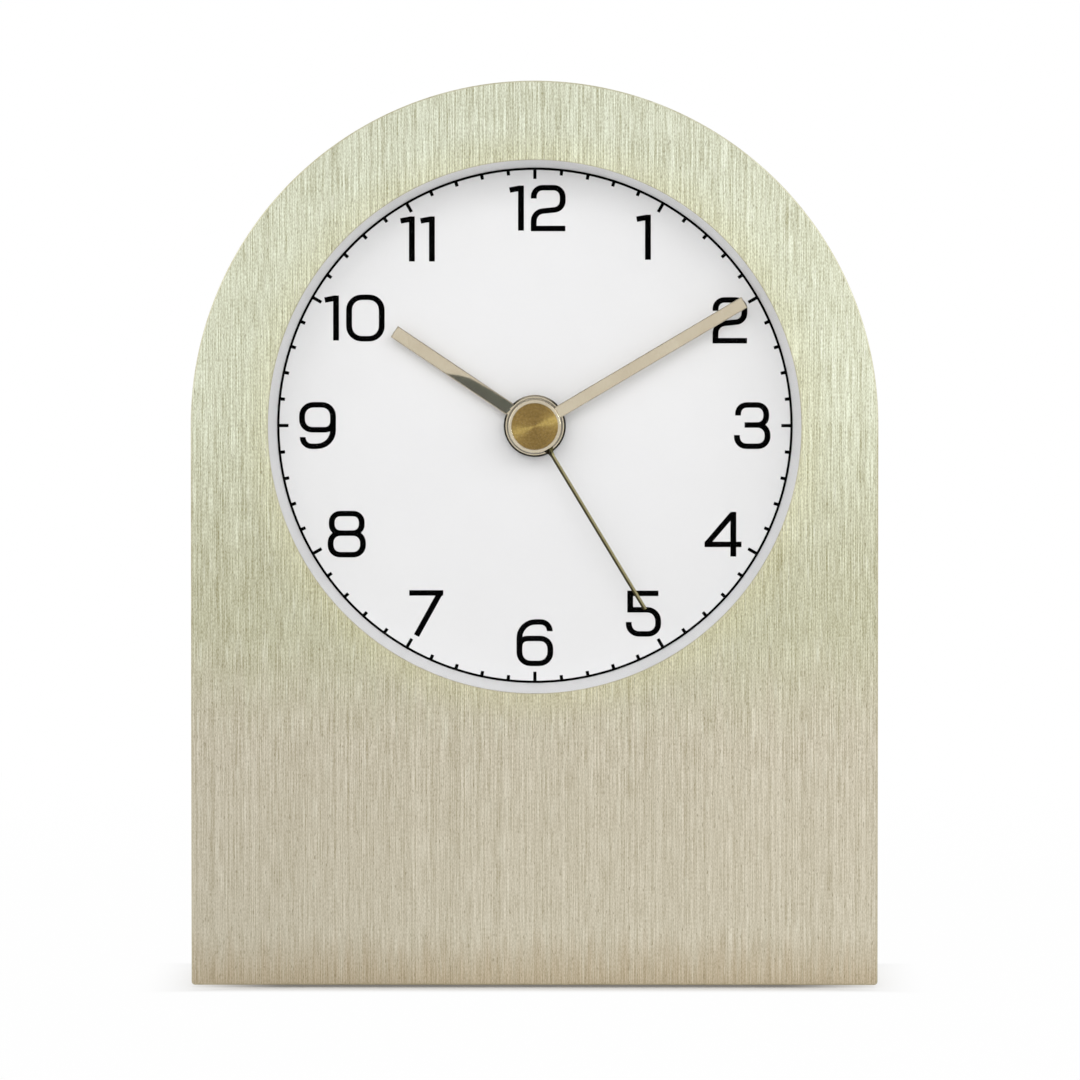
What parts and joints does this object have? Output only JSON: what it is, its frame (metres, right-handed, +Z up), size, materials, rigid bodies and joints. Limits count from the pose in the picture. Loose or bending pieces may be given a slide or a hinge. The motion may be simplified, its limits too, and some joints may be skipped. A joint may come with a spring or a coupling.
{
  "type": "arch-topped mantel clock",
  "caption": "Arch-topped table clock with a brushed metal front, round glazed white dial, baton hands and a quartz movement behind a plain moulded back.",
  "frame": {"origin": "centre of the base, on the surface that the clock stands on", "axes": "+Z up, -Y out of the dial towards the viewer, +X to the viewer's right"},
  "size_m": [0.12, 0.04, 0.1585],
  "materials": {
    "case_metal": "vertically brushed, pale champagne anodised",
    "window_glass": "clear polished flat glass",
    "ring_grey": "moulded, satin light grey",
    "dial_white": "matt white with black printed numerals and minute track",
    "hand_metal": "polished, champagne anodised",
    "seconds_metal": "dark brass, ridged",
    "cap_brass": "turned face with a circular grain",
    "frame_plastic": "moulded, fine texture",
    "movement_plastic": "moulded, satin black",
    "wheel_plastic": "moulded acetal, natural white",
    "magnet": "sintered ferrite, dark grey",
    "core_steel": "stamped sheet",
    "bobbin_plastic": "moulded natural nylon",
    "winding_copper": "enamelled copper wire, wound in layers",
    "board_resin": "green solder mask",
    "chip_resin": "black resin drop",
    "crystal_can": "drawn tinned can",
    "battery_sleeve": "plain printed sleeve over a steel can",
    "contact_steel": "nickel-plated spring steel",
    "screw_steel": "zinc plated",
    "back_plastic": "moulded, fine spark-eroded texture",
    "knob_plastic": "moulded, ridged rim",
    "pad_foam": "thin foam rubber pads"
  },
  "bodies": {
    "case": {"front_plate": "case_metal", "case_band": "case_metal", "foot_pads": "pad_foam", "chassis": "frame_plastic", "lens": "window_glass", "dial_ring": "ring_grey", "dial": "dial_white", "movement_carrier": "frame_plastic", "carrier_screws": "screw_steel", "movement_screws": "screw_steel", "back_screws": "screw_steel", "movement_case": "movement_plastic", "middle_plate": "movement_plastic", "movement_cover": "movement_plastic", "stator": "core_steel", "coil_core": "core_steel", "coil_bobbin": "bobbin_plastic", "coil_winding": "winding_copper", "circuit_board": "board_resin", "chip_cover": "chip_resin", "quartz_crystal": "crystal_can", "battery": "battery_sleeve", "positive_contact": "contact_steel", "negative_contact": "contact_steel", "back_cover": "back_plastic"},
    "seconds": {"seconds_wheel": "wheel_plastic", "seconds_hand": "seconds_metal", "hub_cap": "hand_metal", "cap_disc": "cap_brass"},
    "minutes": {"minute_arbor": "wheel_plastic", "minute_hand": "hand_metal"},
    "hours": {"hour_wheel": "wheel_plastic", "hour_hand": "hand_metal"},
    "centre": {"centre_wheel": "wheel_plastic"},
    "third": {"third_wheel": "wheel_plastic"},
    "intermediate": {"intermediate_wheel": "wheel_plastic"},
    "rotor": {"rotor": "wheel_plastic", "rotor_magnet": "magnet"},
    "minute_transfer": {"minute_wheel": "wheel_plastic"},
    "setting": {"setting_arbor": "wheel_plastic", "setting_knob": "knob_plastic"},
    "door": {"battery_door": "back_plastic"}
  },
  "joints": [
    {"name": "seconds_turn", "type": "hinge", "parent": "case", "child": "seconds", "pos_m": [0, 0, 0.0981], "axis": [0, 1, 0], "continuous": true},
    {"name": "minutes_turn", "type": "hinge", "parent": "case", "child": "minutes", "pos_m": [0, 0, 0.0981], "axis": [0, 1, 0], "continuous": true},
    {"name": "hours_turn", "type": "hinge", "parent": "case", "child": "hours", "pos_m": [0, 0, 0.0981], "axis": [0, 1, 0], "continuous": true},
    {"name": "centre_turn", "type": "hinge", "parent": "case", "child": "centre", "pos_m": [0, 0, 0.0981], "axis": [0, 1, 0], "continuous": true},
    {"name": "third_turn", "type": "hinge", "parent": "case", "child": "third", "pos_m": [0.00869, 0, 0.09577], "axis": [0, 1, 0], "continuous": true},
    {"name": "intermediate_turn", "type": "hinge", "parent": "case", "child": "intermediate", "pos_m": [0.0045, 0, 0.10589], "axis": [0, 1, 0], "continuous": true},
    {"name": "rotor_turn", "type": "hinge", "parent": "case", "child": "rotor", "pos_m": [0.01056, 0, 0.10939], "axis": [0, 1, 0], "continuous": true},
    {"name": "minute_transfer_turn", "type": "hinge", "parent": "case", "child": "minute_transfer", "pos_m": [-0.00902, 0, 0.09482], "axis": [0, 1, 0], "continuous": true},
    {"name": "setting_turn", "type": "hinge", "parent": "case", "child": "setting", "pos_m": [-0.01804, 0, 0.0981], "axis": [0, 1, 0], "continuous": true},
    {"name": "door_swing", "type": "hinge", "parent": "case", "child": "door", "pos_m": [0, 0.0132, 0.0716], "axis": [-1, 0, 0], "range_deg": [0, 90]}
  ],
  "couplings": [
    {"joint": "third_turn", "follows": "seconds_turn", "ratio": -0.13333},
    {"joint": "centre_turn", "follows": "seconds_turn", "ratio": 0.016667},
    {"joint": "intermediate_turn", "follows": "seconds_turn", "ratio": -5},
    {"joint": "rotor_turn", "follows": "seconds_turn", "ratio": 30},
    {"joint": "hours_turn", "follows": "minutes_turn", "ratio": 0.083333},
    {"joint": "minute_transfer_turn", "follows": "minutes_turn", "ratio": -0.33333},
    {"joint": "setting_turn", "follows": "minutes_turn", "ratio": 1}
  ]
}
